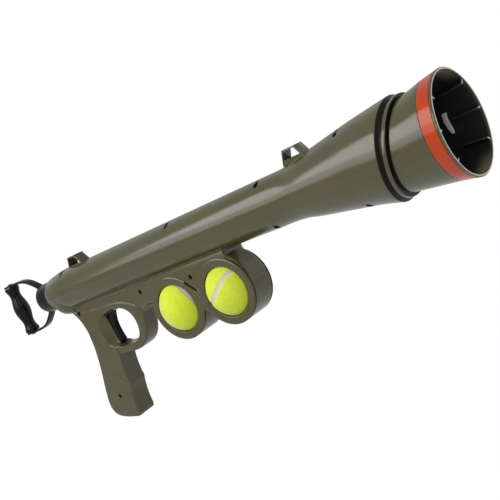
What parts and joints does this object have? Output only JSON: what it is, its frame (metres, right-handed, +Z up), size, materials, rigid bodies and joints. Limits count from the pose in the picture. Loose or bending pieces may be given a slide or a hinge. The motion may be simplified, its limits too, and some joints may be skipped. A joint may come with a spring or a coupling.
{
  "type": "dog ball thrower",
  "caption": "Spring launcher for dog balls: long tube with flared mouth, pistol grip and trigger, ball rings under the tube, rear pull handle.",
  "frame": {"origin": "middle of the hand grip, on the object's plane of symmetry", "axes": "+X along the tube towards the muzzle, +Z up, +Y to the left of someone who aims it"},
  "size_m": [0.7447, 0.1038, 0.2467],
  "materials": {
    "olive": "olive drab moulded plastic, satin gloss",
    "orange": "orange band",
    "pale": "pale grey soft plastic",
    "black": "black moulded plastic",
    "steel": "zinc plated steel",
    "bumper": "black rubber",
    "felt": "yellow-green felt with a pale seam"
  },
  "bodies": {
    "launcher_body": {"right_shell": "olive", "left_shell": "olive", "right_horn": "olive", "left_horn": "olive", "muzzle_cup": "olive", "muzzle_band": "orange", "retainer_tab": "pale", "rear_guide_ring": "black", "spring_plate": "black", "stop_bumper": "bumper", "trigger_pin": "steel", "sear_pin": "steel", "drive_spring": "steel", "trigger_spring": "steel", "sear_spring": "steel", "shell_screw_1": "steel", "shell_screw_2": "steel", "shell_screw_3": "steel", "shell_screw_4": "steel", "shell_screw_5": "steel", "shell_screw_6": "steel", "shell_screw_7": "steel", "shell_screw_8": "steel", "shell_screw_9": "steel", "shell_screw_10": "steel"},
    "plunger": {"plunger_tube": "black", "plunger_plug": "black", "plunger_rod": "steel", "rod_nut": "steel", "plunger_head": "black", "head_pad": "pale", "pull_bow": "black", "bow_screw_1": "steel", "bow_screw_2": "steel", "grip_pin": "black"},
    "handle_grip": {"pull_grip": "black"},
    "trigger_body": {"trigger": "black"},
    "sear_body": {"sear": "steel"},
    "rear_ball_body": {"rear_ball": "felt"},
    "front_ball_body": {"front_ball": "felt"}
  },
  "joints": [
    {"name": "plunger_draw", "type": "slide", "parent": "launcher_body", "child": "plunger", "axis": [-1, 0, 0], "range_m": [0, 0.08], "stiffness_N_per_m": 300, "springref_m": -0.08, "deforming": ["drive_spring"]},
    {"name": "handle_grip_spin", "type": "hinge", "parent": "plunger", "child": "handle_grip", "pos_m": [-0.139, 0, 0.125], "axis": [0, 0, 1], "continuous": true},
    {"name": "trigger_pull", "type": "hinge", "parent": "launcher_body", "child": "trigger_body", "pos_m": [0.047, 0, 0.0885], "axis": [0, 1, 0], "range_deg": [0, 12], "stiffness_Nm_per_rad": 0.4, "springref_deg": -8.59, "deforming": ["trigger_spring"]},
    {"name": "sear_rock", "type": "hinge", "parent": "launcher_body", "child": "sear_body", "pos_m": [0.016, 0, 0.0905], "axis": [0, 1, 0], "range_deg": [-8, 0], "deforming": ["sear_spring"]},
    {"name": "rear_ball_turn", "type": "hinge", "parent": "launcher_body", "child": "rear_ball_body", "pos_m": [0.178, 0, 0.0534], "axis": [0, 1, 0], "continuous": true},
    {"name": "front_ball_turn", "type": "hinge", "parent": "launcher_body", "child": "front_ball_body", "pos_m": [0.2614, 0, 0.0534], "axis": [0, 1, 0], "continuous": true}
  ],
  "couplings": [
    {"joint": "sear_rock", "follows": "trigger_pull", "ratio": -0.66}
  ]
}
